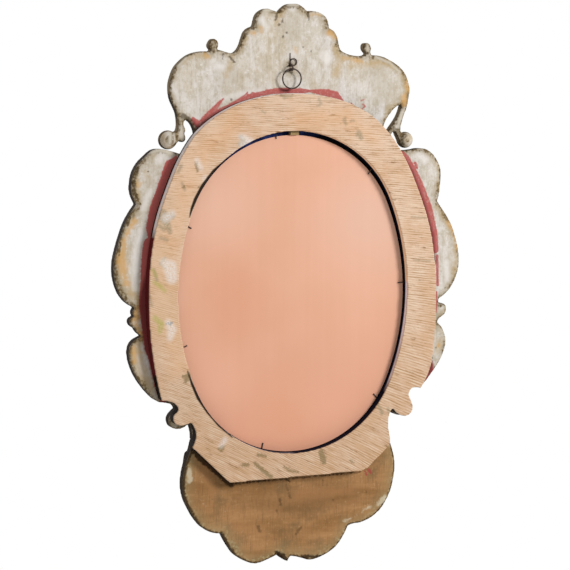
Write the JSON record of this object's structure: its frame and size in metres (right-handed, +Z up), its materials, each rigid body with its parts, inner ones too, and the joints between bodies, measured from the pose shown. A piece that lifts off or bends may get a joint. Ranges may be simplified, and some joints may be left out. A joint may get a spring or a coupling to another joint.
{
  "type": "baroque wall mirror",
  "caption": "Oval wall mirror in a carved and gilded baroque frame, with a backing ring, glazing sprigs and a hanging ring.",
  "frame": {"origin": "middle of the backing ring's top band, on its face against the wall", "axes": "+Z up, +Y into the wall, so the carved front faces -Y and +X is to the right of someone looking into the mirror"},
  "size_m": [0.5107, 0.047, 0.7802],
  "materials": {
    "painted_board": "old grey-white paint, worn along the edges",
    "bare_board": "bare, aged lime wood",
    "sawn_pine": "rough-sawn pine",
    "gilded_wood": "water gilding over red bole, rubbed",
    "mirror_glass": "silvered glass",
    "copper_coat": "matte copper-coloured backing paint",
    "wrought_iron": "dark forged iron"
  },
  "bodies": {
    "frame": {"crest_panel": "painted_board", "right_side_panel": "painted_board", "left_side_panel": "painted_board", "apron_panel": "bare_board", "sight_frame": "gilded_wood", "backing_ring": "sawn_pine", "sprig_1": "wrought_iron", "sprig_2": "wrought_iron", "sprig_3": "wrought_iron", "sprig_4": "wrought_iron", "sprig_5": "wrought_iron", "sprig_6": "wrought_iron", "sprig_7": "wrought_iron", "mirror_coat": "copper_coat", "mirror_glass": "mirror_glass", "top_shim": "sawn_pine", "hanger_eye": "wrought_iron", "crest_shell": "gilded_wood", "apron_shell": "gilded_wood", "right_crest_scroll": "gilded_wood", "right_upper_scroll": "gilded_wood", "right_middle_scroll": "gilded_wood", "right_lower_scroll": "gilded_wood", "right_apron_scroll": "gilded_wood", "right_crest_leaf": "gilded_wood", "right_side_leaf": "gilded_wood", "right_apron_leaf": "gilded_wood", "left_crest_scroll": "gilded_wood", "left_upper_scroll": "gilded_wood", "left_middle_scroll": "gilded_wood", "left_lower_scroll": "gilded_wood", "left_apron_scroll": "gilded_wood", "left_crest_leaf": "gilded_wood", "left_side_leaf": "gilded_wood", "left_apron_leaf": "gilded_wood"},
    "ring": {"hanging_ring": "wrought_iron"}
  },
  "joints": [
    {"name": "ring_swing", "type": "hinge", "parent": "frame", "child": "ring", "pos_m": [0.003, -0.01, 0.059], "axis": [1, 0, 0], "range_deg": [-12, 160]}
  ]
}
